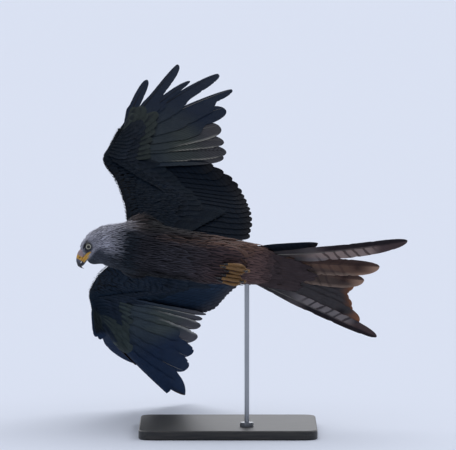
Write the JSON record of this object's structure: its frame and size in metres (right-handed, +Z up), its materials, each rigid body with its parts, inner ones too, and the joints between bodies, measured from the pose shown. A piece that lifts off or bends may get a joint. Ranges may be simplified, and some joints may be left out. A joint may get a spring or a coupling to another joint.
{
  "type": "red kite bird in flight on a display stand",
  "caption": "Forked-tailed bird of prey in banked flight with raised fingered wings, turned head and closed feet, held on a flat stand by a rod.",
  "frame": {"origin": "middle of the underside of the stand's flat base", "axes": "+Z up out of the base, -Y towards the viewer of the picture and the bird's belly, -X the way the bird flies"},
  "size_m": [0.6303, 0.6939, 0.6882],
  "materials": {
    "body_feathers": "soft, streaked red-brown feathers",
    "head_feathers": "soft pale grey feathers with dark shafts",
    "wing_feathers": "dark brown feathers with a pale barred panel and blackish tips",
    "tail_feathers": "rufous feathers with fine dark bars",
    "bill_upper_horn": "yellow cere and horn with a blackish hooked tip",
    "bill_lower_horn": "smooth dark horn",
    "eye": "wet, pale iris with a black pupil",
    "foot_skin": "scaly orange-yellow skin",
    "claw": "smooth black horn",
    "stand_wood": "satin dark stain",
    "stand_steel": "brushed"
  },
  "bodies": {
    "root": {"torso": "body_feathers", "neck": "head_feathers", "head": "head_feathers", "bill_upper": "bill_upper_horn", "bill_lower": "bill_lower_horn", "eye_left": "eye", "eye_right": "eye", "wing_left_arm": "wing_feathers", "wing_left_hand": "wing_feathers", "wing_right_arm": "wing_feathers", "wing_right_hand": "wing_feathers", "tail": "tail_feathers", "leg_left": "foot_skin", "foot_left": "foot_skin", "claw_left_outer": "claw", "claw_left_middle": "claw", "claw_left_inner": "claw", "claw_left_hind": "claw", "leg_right": "foot_skin", "foot_right": "foot_skin", "claw_right_outer": "claw", "claw_right_middle": "claw", "claw_right_inner": "claw", "claw_right_hind": "claw", "stand_base": "stand_wood", "stand_rod": "stand_steel"}
  },
  "joints": []
}
